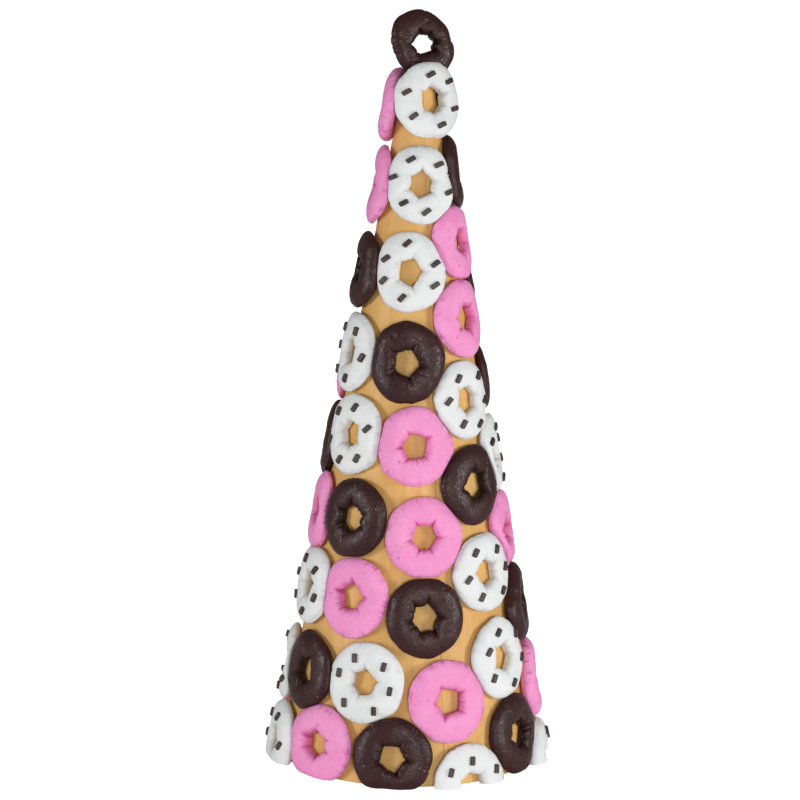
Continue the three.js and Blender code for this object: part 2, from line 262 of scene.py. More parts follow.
tan_cone = skin("tan_cone", cone_rows, capped=True)
tan_cone.data.materials.append(cone_finish())
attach(tan_cone, "root")
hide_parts("cone")

# The white doughnuts are plump rings of white dough, flat underneath and bent onto the cone while soft.
# The hole is pushed through from the top, so the dough gathers round it in five or six pinched creases
# with swollen lobes between them; the rims keep small nicks and a folded lip from handling.

# The ring as its solid has it: its size, its bend, its hole and how high its sprinkles stand
RING_WIDTH = 49
RING_TALL = 49
RING_THICK = 7.6
STIFF_BEND = 41
BEND_EASE = 1.62
FLOOR_CUT_BELOW = 15
FLOOR_CLEAR = 0.5
HOLE_WIDTH = 12.6
HOLE_TALL = 14
SOLID_GIRTH = 0.46
SOLID_GIRTH_SPAN = 0.14
SOLID_CREASE = 1.16
SOLID_LOBE = 0.93
SOLID_CREASE_TELLS = 1.07
SOLID_SPRINKLE = 1.3
WIDEST_LOBE = 1.75
RIM_FROM = RING_TALL / 3
RIM_BLUR = 7
HOLE_BLUR = 16
BARE_RIM = 0.5
BARE_HOLE = 0.7
BARE_STEP = 20
READ_ROUNDS = 5
DEGREES = np.radians(np.arange(360))

# The section: its steps over and under, where it is widest, and how full it is at the rim and at the hole
RING_STEPS = 180
OVER_STEPS = 27
UNDER_STEPS = 9
RING_GIRTH = 0.434
RING_BASE = 0.12
OUTER_FULLNESS = 1.0
WALL_FULLNESS = 0.78
RIM_UNDERCUT = 0.95
HOLE_UNDERCUT = 0.35
CREST_INWARDS = 0.1

# The creases gathered round the hole, the lobes between them and the small folds in its wall
LOBE_IN = 1.04
LOBE_PUFF = 0.2
LOBE_LEVEL = 0.6
CREASE_OUT = 0.2
CREASE_SHARP = 1.5
CREASE_CROWD = 0.45
CREASE_SPREAD = 1.0
CREASE_REACH = 0.3
CREASE_SLANT = 0.3
CREASE_UNEVEN = (0.5, 1.4)
WHITE_CREASE = 0.7
FOLDS = 7
FOLD_WIDTH = 0.7
FOLD_REACH = 0.22
FOLD_DEEP = (0.05, 0.35)

# The marks of handling: nicks and lips at the rim, dents on top, and a swell and length for each unevenness
RIM_NICKS = (1, 1, 1, 3, 4)
NICK_STEP = 2.4
NICK_STRAY = 0.4
NICK_WIDTH = 0.8
NICK_DEEP = (0.15, 0.6)
NICK_DROP = 0.8
NICK_FROM = 0.5
NICK_FADE = 0.4
LIPS = 2
LIP_LONG = (0.35, 0.8)
LIP_PLACE = (0.12, 0.5)
LIP_WIDTH = 0.13
LIP_DEEP = 0.42
LIP_DROP = 0.3
DENTS = 3
DENT_PLACE = (0.5, 0.85)
DENT_DEEP = (0.15, 0.5)
DENT_LENGTH = 1.9
DENT_WIDTH = 0.7
DENT_SHADE = 0.7
RIM_SWELL = (0.35, 13)
BROAD_SWELL = (0.26, 15)
SMALL_SWELL = (0.12, 6)
SEEDS_APART = 10

# How neighbours press each other, and the numbers of the soft ones with the firmer one that each yields to
PRESS_REACH = 64
PRESS_GAP = 0.15
PRESS_EASE = 0.7
PRESS_DEPTH = 9
YIELD = 0.12
YIELDS_TO = {3: 2, 25: 26, 29: 27, 33: 34, 41: 34, 46: 44, 49: 42}

# The fine cracks and wrinkles of a ring's finish: how they waver, how fine they are and how far they spread
CRACK_WAVER = (0.35, 0.35, 0.35)
CRACK_WAVER_SCALE = 0.35
CRACK_PATCH_SCALE = 0.16
WRINKLE_SCALE = 2.5
BATCHES_APART = 7.3

# The white dough's colours and relief
WHITE_COOL = (226, 229, 228)
WHITE_LIGHT = (231, 233, 232)
# Painted warm reflection of the tan cone, with a little shade, for the hole wall.
WHITE_PAINTED_WALL_BOUNCE = (222, 213, 200)
# Painted shade for the creases round the hole.
WHITE_PAINTED_CREASE_SHADE = (205, 203, 206)
WHITE_WRINKLE_BLUE = (212, 216, 222)
WHITE_CRACK_GREY = (188, 188, 194)
WHITE_PIT_GREY = (196, 192, 190)
WHITE_RELIEF = 0.00025


def bend_radius(height):
    """How far the bend of a ring is set back from the cone's axis, and its radius there."""
    radius = cone_foot - height * math.tan(taper)
    slack = max(0, STIFF_BEND - BEND_EASE * radius)
    return slack, radius + slack


def unbend(points, azimuth, height):
    """Points on the cone as flat ones round a ring's centre: across, up the slope and outwards."""
    slack, radius = bend_radius(height)
    x, y, z = points.T
    out = x * math.sin(azimuth) - y * math.cos(azimuth) + slack
    side = x * math.cos(azimuth) + y * math.sin(azimuth)
    r = np.hypot(out, side)
    w = (r - radius + (z - height) * math.tan(taper)) * math.cos(taper)
    reach = (r - w * math.cos(taper)) / math.sin(taper)
    turn = np.arctan2(side, out) * math.sin(taper)
    stretch = 1 + RING_THICK / 2 * math.cos(taper) / radius
    p = reach * np.sin(turn) * stretch
    q = radius / math.sin(taper) - reach * np.cos(turn)
    return np.stack([p, q, w], axis=-1)


def bend(flat, azimuth, height):
    """Flat points round a ring's centre, bent onto the cone."""
    slack, radius = bend_radius(height)
    p, q, w = np.moveaxis(flat, -1, 0)
    across = p / (1 + RING_THICK / 2 * math.cos(taper) / radius)
    slant = radius / math.sin(taper)
    reach = np.hypot(slant - q, across)
    turn = np.arctan2(across, slant - q) / math.sin(taper)
    r = reach * math.sin(taper) + w * math.cos(taper)
    out = r * np.cos(turn) - slack
    side = r * np.sin(turn)
    return np.stack(
        [
            out * math.sin(azimuth) + side * math.cos(azimuth),
            side * math.sin(azimuth) - out * math.cos(azimuth),
            height + (slant - reach) * math.cos(taper) + w * math.sin(taper),
        ],
        axis=-1,
    )


def oval(width, tall, angle):
    """The radius of an oval at an angle."""
    return width * tall / 2 / np.hypot(tall * np.cos(angle), width * np.sin(angle))


def round_table(angles, sizes, blur):
    """Sizes at some angles, as one size for each degree, blurred along the ring by some degrees."""
    table = np.interp(DEGREES, angles, sizes, period=2 * math.pi)
    away = np.minimum(np.arange(360), 360 - np.arange(360))
    kernel = np.exp(-0.5 * (away / blur) ** 2)
    return np.fft.ifft(np.fft.fft(table) * np.fft.fft(kernel / kernel.sum())).real


def at_girth(flat, thick):
    """Which flat points of a ring's solid lie at its girth: on the rim or on the wall of the hole."""
    return abs(flat[:, 2] - SOLID_GIRTH * thick) < SOLID_GIRTH_SPAN * thick


def ring_outline(flat, width, tall, thick):
    """The rim, hole and creases of a ring, read from the flat points of its solid."""
    reach = np.hypot(flat[:, 0], flat[:, 1])
    angle = np.arctan2(flat[:, 1], flat[:, 0])
    girth = at_girth(flat, thick)
    wall = np.flatnonzero(girth & (reach < RIM_FROM))
    wall = wall[np.argsort(angle[wall])]
    beside = (np.roll(reach[wall], 1) + np.roll(reach[wall], -1)) / 2
    creased = reach[wall] > SOLID_CREASE_TELLS * beside
    creases = angle[wall][creased]
    gaps = np.diff(np.append(creases, creases[0] + 2 * math.pi))
    for start, gap in zip(creases.copy(), gaps):
        missing = int(gap / WIDEST_LOBE)
        creases = np.append(creases, start + gap * np.arange(1, missing + 1) / (missing + 1))
    hole = reach[wall] / np.where(creased, SOLID_CREASE, SOLID_LOBE)
    rim = girth & (reach > RIM_FROM)
    rim_angle, rim_reach, hole_angle = angle[rim], reach[rim], angle[wall]
    for a in DEGREES[::BARE_STEP]:
        if abs(np.exp(1j * rim_angle) - np.exp(1j * a)).min() > BARE_RIM:
            rim_angle = np.append(rim_angle, a)
            rim_reach = np.append(rim_reach, oval(RING_WIDTH, RING_TALL, a))
        if abs(np.exp(1j * hole_angle) - np.exp(1j * a)).min() > BARE_HOLE:
            hole_angle = np.append(hole_angle, a)
            hole = np.append(hole, oval(width, tall, a))
    return {
        "rim": round_table(rim_angle, rim_reach, RIM_BLUR),
        "hole": round_table(hole_angle, hole, HOLE_BLUR),
        "creases": np.sort(creases % (2 * math.pi)),
    }


def read_ring(name):
    """Where a doughnut sits on the cone and its outline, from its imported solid."""
    points = node_points(name)
    middle = (points.min(axis=0) + points.max(axis=0)) / 2
    azimuth, height = math.atan2(middle[0], -middle[1]), middle[2]
    half = "half" in name
    if half:
        height = points[:, 2].max() - RING_TALL / 2
    for _ in range(READ_ROUNDS):
        flat = unbend(points, azimuth, height)
        thick = flat[:, 2].max() - (SOLID_SPRINKLE if "white" in name else 0)
        wall = at_girth(flat, thick) & (np.hypot(flat[:, 0], flat[:, 1]) < RIM_FROM)
        wall &= points[:, 2] > FLOOR_CLEAR
        azimuth += flat[wall, 0].mean() / bend_radius(height)[1]
        if not half:
            height += flat[wall, 1].mean() * math.cos(taper)
    flat = unbend(points, azimuth, height)
    cut = height < FLOOR_CUT_BELOW
    shown = flat[points[:, 2] > FLOOR_CLEAR] if cut else flat
    ring = ring_outline(shown, HOLE_WIDTH, HOLE_TALL, thick)
    ring.update(number=int(name[-2:]), azimuth=azimuth, height=height, thick=thick, cut=cut, flat=flat)
    ring["centre"] = bend(np.array([0, 0, RING_THICK / 2]), azimuth, height)
    return ring


rings = {node: read_ring(node) for node in sorted(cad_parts) if node[-1].isdigit()}


def press(points, ring):
    """Loops of points round a ring, each squeezed in where it would run into a neighbour."""
    for other in rings.values():
        away = other["centre"] - ring["centre"]
        distance = np.linalg.norm(away)
        if 0 < distance < PRESS_REACH:
            yields = YIELDS_TO.get(ring["number"]) == other["number"]
            firm = YIELDS_TO.get(other["number"]) == ring["number"]
            reached = distance * (0.5 + YIELD * (firm - yields)) - PRESS_GAP
            past = (points - ring["centre"]) @ (away / distance) - reached
            most = past.max(axis=1, keepdims=True)
            over = np.clip(most + PRESS_EASE, 0, 2 * PRESS_EASE) ** 2 / (4 * PRESS_EASE)
            over = np.where(most > PRESS_EASE, most, over)
            near = np.clip((past - most) / (PRESS_DEPTH + over) + 1, 0, 1) ** 2
            points = points - (over * near)[..., None] * away / distance
    return points


def ring_section():
    """The points of a ring's section, outwards and upwards from -1 to 1: over the top, then back below."""
    top = np.linspace(0, math.pi, OVER_STEPS, endpoint=False)
    base = np.linspace(math.pi, 2 * math.pi, UNDER_STEPS, endpoint=False)
    out = np.concatenate([np.cos(top), np.cos(base)])
    up = np.concatenate([np.sin(top), np.sin(base)])
    above = np.where(out < 0, WALL_FULLNESS, OUTER_FULLNESS)
    power = np.where(up < 0, np.where(out < 0, HOLE_UNDERCUT, RIM_UNDERCUT), above)
    return np.sign(out) * abs(out) ** power, np.sign(up) * abs(up) ** power


section_out, section_up = ring_section()


def off_angle(angle, to):
    """The turn from one angle to another, the short way."""
    return np.angle(np.exp(1j * (angle - to)))


def ring_surface(ring, thick, seed, crease_depth):
    """The flat points of a ring's surface, how far across it each lies, and how creased it is there, as a
    mask for painted shade.
    """
    draw = np.random.default_rng(seed)
    creases = ring["creases"]
    count = len(creases)
    steps = RING_STEPS // count
    share = np.arange(steps) / steps
    share = share - CREASE_CROWD * np.sin(2 * math.pi * share) / (2 * math.pi)
    gaps = np.diff(np.append(creases, creases[0] + 2 * math.pi))
    angle = (creases[:, None] + gaps[:, None] * share).ravel()
    depth = draw.uniform(*CREASE_UNEVEN, count)[:, None]
    depth = np.where(share < 0.5, depth, np.roll(depth, -1)).ravel()
    slant = draw.normal(0, CREASE_SLANT, count)[:, None]
    slant = np.where(share < 0.5, slant, np.roll(slant, -1)).ravel()
    along = np.tile(share, count)
    to_crease = (np.minimum(along, 1 - along) * np.repeat(gaps, steps))[:, None]
    cusp = depth * (1 - np.sin(math.pi * along)) ** CREASE_SHARP
    lobe = np.sin(math.pi * along)[:, None]

    hole = np.interp(angle, DEGREES, ring["hole"], period=2 * math.pi) * (LOBE_IN + CREASE_OUT * cusp)
    rim = np.interp(angle, DEGREES, ring["rim"], period=2 * math.pi)
    rim_line = np.stack([rim * np.cos(angle), rim * np.sin(angle), 0 * rim + seed], axis=-1)
    rim = rim + RIM_SWELL[0] * swells(rim_line, RIM_SWELL[1], seed + 1)
    folds = np.zeros(len(angle))
    for _ in range(FOLDS):
        off = off_angle(angle, draw.uniform(0, 2 * math.pi)) * hole / FOLD_WIDTH
        folds += draw.uniform(*FOLD_DEEP) * np.exp(-(off**2))
    hole = hole + crease_depth * folds
    middle, half = (rim + hole)[:, None] / 2, (rim - hole)[:, None] / 2
    top = np.maximum(section_up, 0)
    r = middle + half * (section_out - CREST_INWARDS * top**2)
    girth = RING_GIRTH * thick
    rise = np.where(section_up >= 0, thick - girth, girth - RING_BASE)
    w = girth + rise * section_up + 0 * r

    across = np.clip((r - hole[:, None]) / (rim - hole)[:, None], 0, 1)
    fading = np.clip(1 - across / CREASE_REACH, 0, 1)
    crease = depth[:, None] * np.exp(-to_crease * r / CREASE_SPREAD) * fading
    w = w - crease_depth * crease * np.sqrt(top)
    w = w - crease_depth * folds[:, None] * np.clip(1 - across / FOLD_REACH, 0, 1) * top
    w = w + LOBE_PUFF * (lobe - LOBE_LEVEL) * top * (1 - across)

    outer = np.clip((across - NICK_FROM) / NICK_FADE, 0, 1)
    for together in RIM_NICKS:
        first = draw.uniform(0, 2 * math.pi)
        for place in np.arange(together) * NICK_STEP + draw.normal(0, NICK_STRAY, together):
            off = off_angle(angle, first) * rim - place
            nick = draw.uniform(*NICK_DEEP) * np.exp(-((off / NICK_WIDTH) ** 2))[:, None] * outer
            r = r - nick * np.maximum(section_out, 0)
            w = w - NICK_DROP * nick * top
    section_angle = np.arctan2(section_up, section_out)
    for _ in range(LIPS):
        off = off_angle(angle, draw.uniform(0, 2 * math.pi)) / draw.uniform(*LIP_LONG)
        line = np.exp(-(((section_angle - draw.uniform(*LIP_PLACE)) / LIP_WIDTH) ** 2))
        lip = LIP_DEEP * np.exp(-(off**4))[:, None] * line
        r = r - lip
        w = w - LIP_DROP * lip

    angle = angle[:, None] + (slant * (1 - np.sin(math.pi * along)))[:, None] * across * (1 - across)
    flat = np.stack([r * np.cos(angle), r * np.sin(angle), w], axis=-1)
    for _ in range(DENTS):
        place, share = draw.uniform(0, 2 * math.pi), draw.uniform(*DENT_PLACE)
        reach = np.interp(place, DEGREES, ring["rim"], period=2 * math.pi) * share
        turn = draw.uniform(0, math.pi)
        x, y = flat[..., 0] - reach * math.cos(place), flat[..., 1] - reach * math.sin(place)
        along_dent = (x * math.cos(turn) + y * math.sin(turn)) / DENT_LENGTH
        over_dent = (y * math.cos(turn) - x * math.sin(turn)) / DENT_WIDTH
        dent = draw.uniform(*DENT_DEEP) * np.exp(-(along_dent**2) - over_dent**2) * top
        w = w - crease_depth / 2 * dent
        # Each dent also adds to the crease mask, so the finishes paint shade into it.
        crease = crease + DENT_SHADE * dent
    swell = BROAD_SWELL[0] * swells(flat, BROAD_SWELL[1], seed + 2)
    swell = swell + SMALL_SWELL[0] * swells(flat, SMALL_SWELL[1], seed + 3)
    r = r + swell * section_out
    w = np.maximum(w + swell * top, RING_BASE)
    flat = np.stack([r * np.cos(angle), r * np.sin(angle), w], axis=-1)
    return flat, across, np.clip(crease, 0, 1)


def cut_at_floor(piece):
    """Cuts a piece off flat where the tree stands."""
    work = bmesh.new()
    work.from_mesh(piece.data)
    every = work.verts[:] + work.edges[:] + work.faces[:]
    cut = bmesh.ops.bisect_plane(work, geom=every, plane_co=(0, 0, 0), plane_no=(0, 0, 1), clear_inner=True)
    edges = [e for e in cut["geom_cut"] if isinstance(e, bmesh.types.BMEdge)]
    for edge in edges:
        edge.smooth = False
    bmesh.ops.holes_fill(work, edges=edges)
    work.to_mesh(piece.data)
    work.free()


def keep_with_points(mesh, name, values):
    """Keeps three values with each of a mesh's points, for its finish to read."""
    attribute = mesh.attributes.new(name, "FLOAT_VECTOR", "POINT")
    attribute.data.foreach_set("vector", np.asarray(values, np.float32).ravel())


def ring_piece(name, points, surface, batch):
    """A ring's mesh, with what its finish reads: flat place, share across, creases and batch."""
    flat, across, crease = surface
    piece = skin(name, points, closed=True)
    keep_with_points(piece.data, "flat", flat)
    keep_with_points(piece.data, "worked", np.stack([across, crease, 0 * across + batch], axis=-1))
    return piece


def make_doughnut(node, finish, crease_depth):
    """Gives its ring and surface back."""
    ring = rings[node]
    surface = ring_surface(ring, ring["thick"], SEEDS_APART * ring["number"], crease_depth)
    points = press(bend(surface[0], ring["azimuth"], ring["height"]), ring)
    if not ring["cut"]:
        points[..., 2] = np.maximum(points[..., 2], 0)
    piece = ring_piece(node.replace("doughnut", "ring"), points, surface, ring["number"])
    if ring["cut"]:
        cut_at_floor(piece)
    piece.data.materials.append(finish)
    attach(piece, "root")
    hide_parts(node)
    return ring, surface[0]


def pinched_ring_group():
    """Masks for a ring's finish: painted shade in the creases round the hole and on the hole's wall,
    wrinkles, and short fine cracks that run in from the rim and out from the hole.
    """
    group = new_group("pinched ring", ["Crack count"], ["Crease", "Crack", "Wrinkle", "Wall shade"])
    given = group.nodes.new("NodeGroupInput").outputs
    flat = add_node(group, "Attribute", attribute_name="flat").outputs["Vector"]
    worked = add_node(group, "Attribute", attribute_name="worked").outputs["Vector"]
    across, crease, batch = add_node(group, "SeparateXYZ", {"Vector": worked}).outputs
    p, q, _ = add_node(group, "SeparateXYZ", {"Vector": flat}).outputs
    ray = add_node(group, "CombineXYZ", {"X": p, "Y": q}).outputs[0]
    ray = add_node(group, "VectorMath", {0: ray}, operation="NORMALIZE").outputs[0]
    shift = add_node(group, "CombineXYZ", {"Z": reckon(group, "MULTIPLY", batch, BATCHES_APART)}).outputs[0]
    ray = add_node(group, "VectorMath", {0: ray, "Scale": given["Crack count"]}, operation="SCALE").outputs[0]
    ray = add_node(group, "VectorMath", {0: ray, 1: shift}, operation="ADD").outputs[0]
    waver = add_node(group, "TexNoise", {"Vector": flat, "Scale": CRACK_WAVER_SCALE}).outputs["Color"]
    wavy = {0: waver, 1: CRACK_WAVER, 2: ray}
    ray = add_node(group, "VectorMath", wavy, operation="MULTIPLY_ADD").outputs[0]
    wrinkle = add_node(group, "TexNoise", {"Vector": ray, "Scale": WRINKLE_SCALE, "Detail": 3.0})
    wrinkle = wrinkle.outputs["Fac"]
    line = add_node(group, "TexNoise", {"Vector": ray, "Scale": 1.0, "Detail": 1.0}).outputs["Fac"]
    line = ease(group, reckon(group, "ABSOLUTE", reckon(group, "SUBTRACT", line, 0.5)), 0.012, 0.06, 1.0, 0.0)
    spread = {"Vector": flat, "Scale": CRACK_PATCH_SCALE, "W": batch}
    patch = add_node(group, "TexNoise", spread, noise_dimensions="4D")
    patch = ease(group, patch.outputs["Fac"], 0.47, 0.63)
    ends = reckon(group, "ADD", ease(group, across, 0.68, 0.95), ease(group, across, 0.05, 0.3, 1.0, 0.0))
    crack = reckon(group, "MULTIPLY", reckon(group, "MULTIPLY", line, patch), ends)
    wrinkle = reckon(group, "MULTIPLY", wrinkle, ease(group, ends, 0.0, 1.0, 0.4, 1.0))
    put = group.nodes.new("NodeGroupOutput").inputs
    group.links.new(ease(group, crease, 0.05, 0.75), put["Crease"])
    group.links.new(crack, put["Crack"])
    group.links.new(wrinkle, put["Wrinkle"])
    group.links.new(ease(group, across, 0.02, 0.2, 1.0, 0.0), put["Wall shade"])
    return group


pinched_ring = pinched_ring_group()


def white_finish():
    """Matt white dough with a cool cast, fine cracks, painted shade in its creases and a painted warm
    reflection of the tan cone on its hole wall.
    """
    material, tree, shader = new_material("white dough", Specular_IOR_Level=0.22)
    dough = use_group(tree, kneaded_dough, Cloud_scale=70, Grain_scale=380, Pit_scale=210)
    ring = use_group(tree, pinched_ring, Crack_count=3.5)
    colour = blend_colour(tree, ease(tree, dough["Cloud"], 0.3, 0.7), WHITE_COOL, WHITE_LIGHT)
    # Painted warm reflection of the tan cone, with a little shade, on the hole wall.
    colour = blend_colour(tree, reckon(tree, "MULTIPLY", ring["Wall shade"], 0.2), colour, WHITE_PAINTED_WALL_BOUNCE)
    # Painted shade in the creases.
    colour = blend_colour(tree, reckon(tree, "MULTIPLY", ring["Crease"], 0.35), colour, WHITE_PAINTED_CREASE_SHADE)
    colour = blend_colour(tree, ease(tree, ring["Wrinkle"], 0.4, 0.7, 0, 0.3), colour, WHITE_WRINKLE_BLUE)
    colour = blend_colour(tree, reckon(tree, "MULTIPLY", ring["Crack"], 0.4), colour, WHITE_CRACK_GREY)
    colour = blend_colour(tree, reckon(tree, "MULTIPLY", dough["Pit"], 0.3), colour, WHITE_PIT_GREY)
    tree.links.new(colour, shader.inputs["Base Color"])
    tree.links.new(ease(tree, dough["Cloud"], 0.25, 0.75, 0.46, 0.62), shader.inputs["Roughness"])
    height = reckon(tree, "ADD", dough["Grain"], ring["Wrinkle"])
    height = reckon(tree, "SUBTRACT", height, reckon(tree, "MULTIPLY", ring["Crack"], 0.9))
    height = reckon(tree, "SUBTRACT", height, reckon(tree, "MULTIPLY", dough["Pit"], 0.6))
    bump(tree, shader, height, WHITE_RELIEF)
    return material


white_dough = white_finish()
white_rings = []
for node in sorted(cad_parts):
    if node.startswith("white"):
        white_rings.append(make_doughnut(node, white_dough, WHITE_CREASE))

# The sprinkles are short flat rods of dark chocolate paste, rounded at the ends and edges.
# They are laid on the white doughnuts, up to six to a ring and roughly one way on each, and pushed into the
# soft dough to about half their height.
SPRINKLE_SIZE = (5.5, 2.85, 3.4)
SPRINKLE_APART = 7
SPRINKLE_PROUD = 1.7
SPRINKLE_ROUND = 24
SPRINKLE_TALL = 9
SPRINKLE_EDGE = 0.27
SPRINKLE_REST = 3
SPRINKLE_OFF_RIM = 2
SPRINKLE_SEED = 5
SPRINKLE_BROWN = (50, 39, 37)
SPRINKLE_LIGHT_BROWN = (70, 57, 54)
SPRINKLE_GREY = (84, 71, 69)
SPRINKLE_RELIEF = 0.0001


def sprinkle_form():
    """One sprinkle round the origin: a rod with flat faces and rounded edges, as loops from its foot up."""
    turn = np.arange(SPRINKLE_ROUND) * 2 * math.pi / SPRINKLE_ROUND
    lift = np.linspace(-math.pi / 2, math.pi / 2, SPRINKLE_TALL + 2)[1:-1][:, None]

    def squared(value):
        return np.sign(value) * abs(value) ** SPRINKLE_EDGE

    length, width, tall = SPRINKLE_SIZE
    x = length / 2 * squared(np.cos(lift)) * squared(np.cos(turn))
    y = width / 2 * squared(np.cos(lift)) * squared(np.sin(turn))
    z = tall / 2 * squared(np.sin(lift)) + 0 * x
    return np.stack([x, y, z], axis=-1)


def sprinkle_spots(flat, thick):
    """The middle and the direction of each sprinkle on a ring, from the top corners of its solid."""
    corners = flat[flat[:, 2] > thick + SOLID_SPRINKLE / 2][:, :2]
    spots = []
    while len(corners):
        own = np.hypot(*(corners - corners[0]).T) < SPRINKLE_APART
        middle = corners[own].mean(axis=0)
        spread = corners[own] - middle
        spots.append((middle, np.linalg.svd(spread, full_matrices=False)[2][0]))
        corners = corners[~own]
    return spots


def sprinkle_finish():
    """Dark chocolate paste, greyer in patches, each rod in its own shade."""
    material, tree, shader = new_material("sprinkle paste", Specular_IOR_Level=0.45)
    dough = use_group(tree, kneaded_dough, Cloud_scale=300, Grain_scale=2600, Pit_scale=900)
    shade = add_node(tree, "Attribute", attribute_name="shade").outputs["Fac"]
    colour = blend_colour(tree, shade, SPRINKLE_BROWN, SPRINKLE_LIGHT_BROWN)
    colour = blend_colour(tree, ease(tree, dough["Cloud"], 0.35, 0.7, 0, 0.5), colour, SPRINKLE_GREY)
    tree.links.new(colour, shader.inputs["Base Color"])
    tree.links.new(ease(tree, dough["Cloud"], 0.25, 0.75, 0.42, 0.62), shader.inputs["Roughness"])
    bump(tree, shader, dough["Grain"], SPRINKLE_RELIEF)
    return material


form = sprinkle_form()
rods = []
for ring, surface in white_rings:
    spread = surface[:, SPRINKLE_OFF_RIM : OVER_STEPS - SPRINKLE_OFF_RIM].reshape(-1, 3)
    for middle, direction in sprinkle_spots(ring["flat"], ring["thick"]):
        near = spread[np.hypot(*(spread[:, :2] - middle).T) < SPRINKLE_REST]
        around = np.c_[near[:, :2] - middle, np.ones(len(near))]
        slope = np.linalg.lstsq(around, near[:, 2], rcond=None)[0]
        aside = np.array([-direction[1], direction[0]])
        place = middle + form[..., :1] * direction + form[..., 1:2] * aside
        lift = slope[2] + SPRINKLE_PROUD - SPRINKLE_SIZE[2] / 2
        w = form[..., 2] + lift + (place - middle) @ slope[:2]
        rod = np.concatenate([place, w[..., None]], axis=-1)
        rods.append(bend(rod, ring["azimuth"], ring["height"]))

sprinkle_mesh = bmesh.new()
shade_layer = sprinkle_mesh.verts.layers.float.new("shade")
sprinkle_draw = np.random.default_rng(SPRINKLE_SEED)
for rod in rods:
    shade = sprinkle_draw.uniform()
    corners = [[sprinkle_mesh.verts.new(Vector(point) * MM) for point in loop] for loop in rod]
    for corner in sum(corners, []):
        corner[shade_layer] = shade
    for lower, upper in zip(corners, corners[1:]):
        for k in range(SPRINKLE_ROUND):
            after = (k + 1) % SPRINKLE_ROUND
            sprinkle_mesh.faces.new([lower[k], lower[after], upper[after], upper[k]])
    sprinkle_mesh.faces.new(corners[0][::-1])
    sprinkle_mesh.faces.new(corners[-1])
bmesh.ops.recalc_face_normals(sprinkle_mesh, faces=sprinkle_mesh.faces[:])
mesh = bpy.data.meshes.new("sprinkles")
sprinkle_mesh.to_mesh(mesh)
sprinkle_mesh.free()
mesh.shade_smooth()
sprinkles = bpy.data.objects.new("sprinkles", mesh)
bpy.context.scene.collection.objects.link(sprinkles)
mesh.materials.append(sprinkle_finish())
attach(sprinkles, "root")

# The pink doughnuts are the same rings in bright pink dough, a little softer and drier than the white.
# They carry no sprinkles, so their creases, hairline cracks and small finger dents show most.
PINK_CREASE = 1.7
PINK_BRIGHT = (239, 146, 199)
PINK_LIGHT = (243, 157, 206)
PINK_GRAIN = (234, 124, 186)
PINK_WRINKLE = (230, 112, 176)
# Painted deeper pink shade for the hole wall.
PINK_PAINTED_WALL_SHADE = (216, 90, 154)
# Painted hot pink shade for the creases round the hole.
PINK_PAINTED_CREASE_SHADE = (206, 70, 138)
PINK_CRACK = (196, 88, 152)
PINK_PIT = (200, 84, 150)
PINK_RELIEF = 0.0004


def pink_finish():
    """Bright pink dough with painted hot pink shade in its creases and on its hole wall, short dark cracks at
    the rim and small dents.
    """
    material, tree, shader = new_material("pink dough", Specular_IOR_Level=0.22)
    dough = use_group(tree, kneaded_dough, Cloud_scale=75, Grain_scale=380, Pit_scale=150)
    ring = use_group(tree, pinched_ring, Crack_count=4.0)
    colour = blend_colour(tree, ease(tree, dough["Cloud"], 0.3, 0.7), PINK_BRIGHT, PINK_LIGHT)
    colour = blend_colour(tree, ease(tree, dough["Grain"], 0.5, 0.75, 0, 0.5), colour, PINK_GRAIN)
    colour = blend_colour(tree, ease(tree, ring["Wrinkle"], 0.45, 0.75, 0, 0.4), colour, PINK_WRINKLE)
    # Painted deeper pink shade on the hole wall.
    colour = blend_colour(tree, reckon(tree, "MULTIPLY", ring["Wall shade"], 0.4), colour, PINK_PAINTED_WALL_SHADE)
    # Painted hot pink shade in the creases.
    colour = blend_colour(tree, reckon(tree, "MULTIPLY", ring["Crease"], 0.6), colour, PINK_PAINTED_CREASE_SHADE)
    colour = blend_colour(tree, reckon(tree, "MULTIPLY", ring["Crack"], 0.55), colour, PINK_CRACK)
    colour = blend_colour(tree, reckon(tree, "MULTIPLY", dough["Pit"], 0.5), colour, PINK_PIT)
    tree.links.new(colour, shader.inputs["Base Color"])
    tree.links.new(ease(tree, dough["Cloud"], 0.25, 0.75, 0.48, 0.64), shader.inputs["Roughness"])
    height = reckon(tree, "ADD", dough["Grain"], reckon(tree, "MULTIPLY", ring["Wrinkle"], 0.7))
    height = reckon(tree, "SUBTRACT", height, ring["Crack"])
    height = reckon(tree, "SUBTRACT", height, reckon(tree, "MULTIPLY", dough["Pit"], 0.8))
    bump(tree, shader, height, PINK_RELIEF)
    return material


pink_dough = pink_finish()
for node in sorted(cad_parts):
    if node.startswith("pink"):
        make_doughnut(node, pink_dough, PINK_CREASE)

# The chocolate doughnuts are rings of dark grey-brown dough, rubbed smooth so that their crests take a satin
# sheen, which the fine grain breaks up; dust and crumbs leave tiny pale specks on them.
CHOCOLATE_CREASE = 2.4
CHOCOLATE_DARK = (50, 23, 23)
CHOCOLATE_LIGHT = (58, 29, 29)
CHOCOLATE_GRAIN = (78, 54, 49)
# Painted dark shade for the hole wall.
CHOCOLATE_PAINTED_WALL_SHADE = (27, 12, 10)
# Painted dark shade for the creases round the hole.
CHOCOLATE_PAINTED_CREASE_SHADE = (24, 11, 9)
CHOCOLATE_CRACK = (36, 24, 25)
CHOCOLATE_SPECK = (150, 138, 134)
CHOCOLATE_PEBBLES = 800
CHOCOLATE_RELIEF = 0.00027


